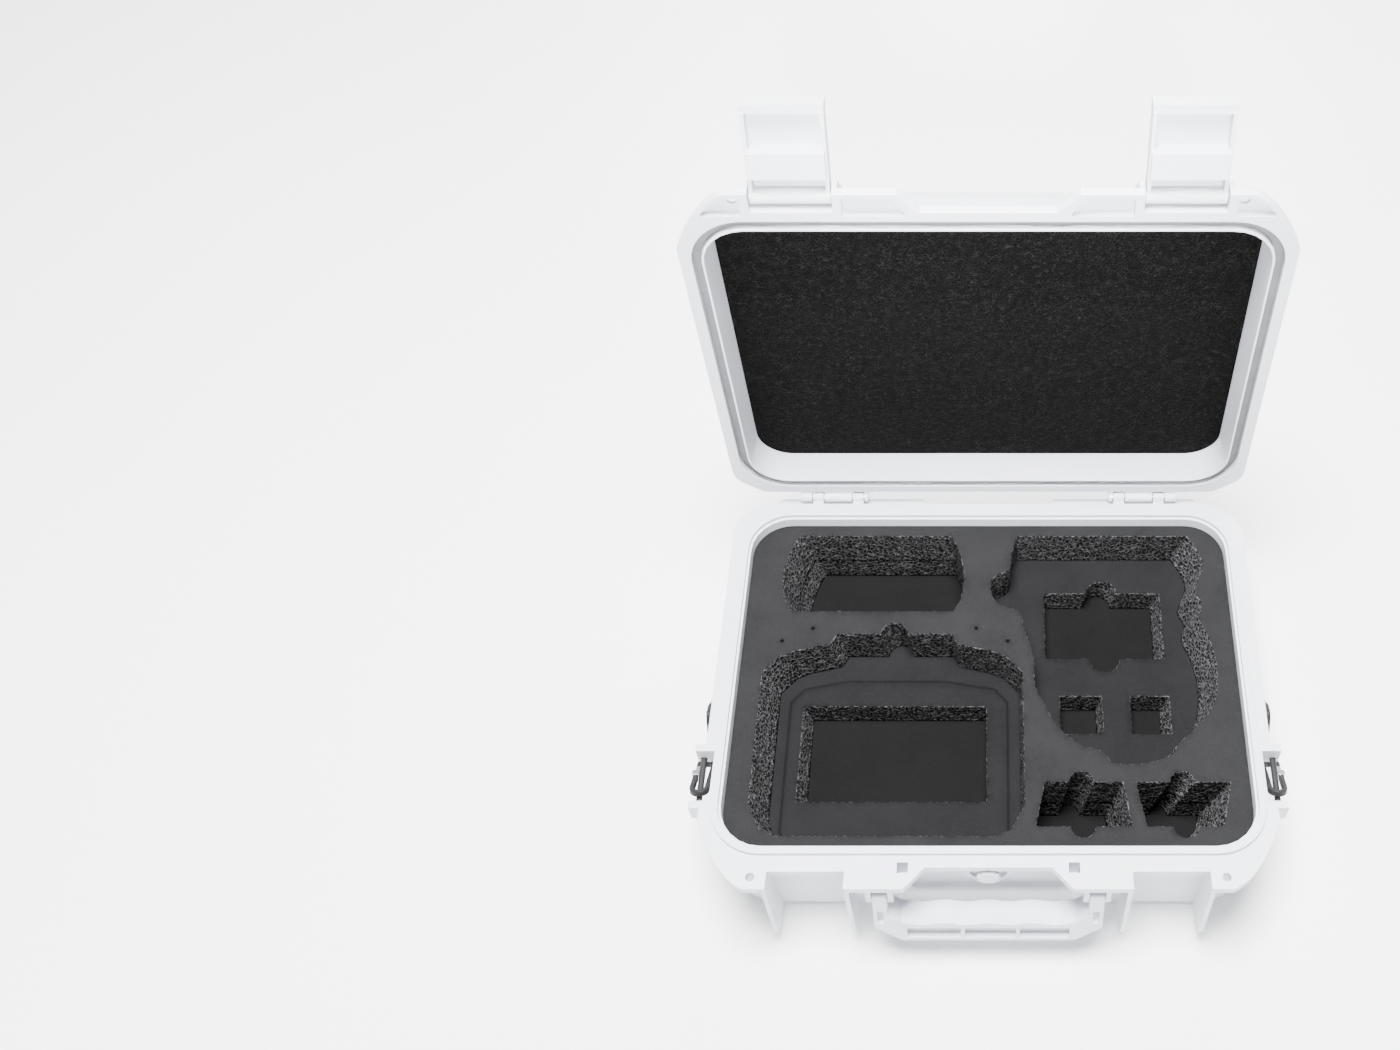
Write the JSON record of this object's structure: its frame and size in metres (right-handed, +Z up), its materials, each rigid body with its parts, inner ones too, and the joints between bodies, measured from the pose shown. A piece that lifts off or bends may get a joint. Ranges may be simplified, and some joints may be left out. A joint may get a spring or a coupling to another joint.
{
  "type": "drone carrying case",
  "caption": "Moulded hard case with a cut foam insert for a folding drone and its controller, hinged lid, toggle latches, swing handle, purge valve and shoulder strap.",
  "frame": {"origin": "centre of the base's underside, with the case lying open on it", "axes": "+Z up, +X to the right seen from the front, -Y to the front, where the handle is"},
  "size_m": [0.3806, 0.3442, 0.435],
  "materials": {
    "shell": "satin",
    "insert_foam": "matte",
    "lid_foam": "matte",
    "seal": "matte",
    "steel": "satin",
    "hook_black": "satin",
    "buckle_plastic": "satin",
    "webbing": "satin",
    "label_gloss": "gloss",
    "label_silver": "satin"
  },
  "bodies": {
    "root": {"base_shell": "shell", "foam_top": "insert_foam", "foam_middle": "insert_foam", "foam_bottom": "insert_foam", "hinge_pin_left": "steel", "hinge_pin_right": "steel", "handle_pin_left": "steel", "handle_pin_right": "steel", "lug_bar_left": "hook_black", "lug_bar_right": "hook_black", "strap_middle": "webbing", "strap_slider": "buckle_plastic"},
    "lid": {"lid_shell": "shell", "lid_foam": "lid_foam", "lid_seal": "seal", "label_plate": "label_gloss", "label_mark": "label_silver", "latch_pin_left": "steel", "latch_pin_right": "steel"},
    "latch_left": {"latch_left": "shell"},
    "latch_right": {"latch_right": "shell"},
    "handle": {"handle": "shell"},
    "valve_knob": {"valve_knob": "shell"},
    "hook_left": {"hook_body_left": "hook_black", "strap_ring_left": "hook_black", "strap_tail_left": "webbing"},
    "hook_right": {"hook_body_right": "hook_black", "strap_ring_right": "hook_black", "strap_tail_right": "webbing"},
    "gate_left": {"hook_gate_left": "steel"},
    "gate_right": {"hook_gate_right": "steel"}
  },
  "joints": [
    {"name": "lid_hinge", "type": "hinge", "parent": "root", "child": "lid", "pos_m": [0, 0.1425, 0.094], "axis": [1, 0, 0], "range_deg": [0, 88]},
    {"name": "latch_left_hinge", "type": "hinge", "parent": "lid", "child": "latch_left", "pos_m": [-0.1106, 0.14003, 0.37959], "axis": [1, 0, 0], "range_deg": [0, 102]},
    {"name": "latch_right_hinge", "type": "hinge", "parent": "lid", "child": "latch_right", "pos_m": [0.1106, 0.14003, 0.37959], "axis": [1, 0, 0], "range_deg": [0, 102]},
    {"name": "handle_hinge", "type": "hinge", "parent": "root", "child": "handle", "pos_m": [0, -0.143, 0.074], "axis": [-1, 0, 0], "range_deg": [0, 80]},
    {"name": "valve_turn", "type": "hinge", "parent": "root", "child": "valve_knob", "pos_m": [0, -0.135, 0.078], "axis": [0, -1, 0], "range_deg": [0, 180]},
    {"name": "hook_left_swing", "type": "hinge", "parent": "root", "child": "hook_left", "pos_m": [-0.1825, -0.076, 0.0825], "axis": [0, 1, 0], "range_deg": [0, 70]},
    {"name": "hook_right_swing", "type": "hinge", "parent": "root", "child": "hook_right", "pos_m": [0.1825, -0.076, 0.0825], "axis": [0, -1, 0], "range_deg": [0, 70]},
    {"name": "gate_left_hinge", "type": "hinge", "parent": "hook_left", "child": "gate_left", "pos_m": [-0.1872, -0.06128, 0.074], "axis": [0, 0.5, 0.866], "range_deg": [0, 20], "stiffness_Nm_per_rad": 0.01},
    {"name": "gate_right_hinge", "type": "hinge", "parent": "hook_right", "child": "gate_right", "pos_m": [0.1872, -0.06128, 0.074], "axis": [0, -0.5, -0.866], "range_deg": [0, 20], "stiffness_Nm_per_rad": 0.01}
  ]
}
